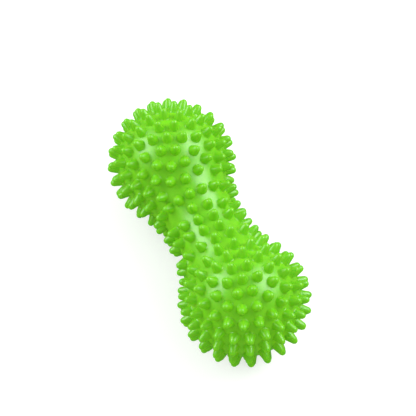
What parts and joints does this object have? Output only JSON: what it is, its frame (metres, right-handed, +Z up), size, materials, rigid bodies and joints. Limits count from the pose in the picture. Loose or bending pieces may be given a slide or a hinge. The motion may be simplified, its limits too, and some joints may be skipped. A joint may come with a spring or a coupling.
{
  "type": "spiky massage ball",
  "caption": "Peanut-shaped massage ball of soft vinyl, its round lobes and narrow waist covered all over in short blunt spikes.",
  "frame": {"origin": "on the floor, below the middle of the waist", "axes": "+X along the long axis from the first lobe to the second, +Z up, +Y across"},
  "size_m": [0.1695, 0.0744, 0.0744],
  "materials": {
    "vinyl": "glossy soft vinyl, slightly translucent"
  },
  "bodies": {
    "root": {"massage_ball": "vinyl"}
  },
  "joints": []
}
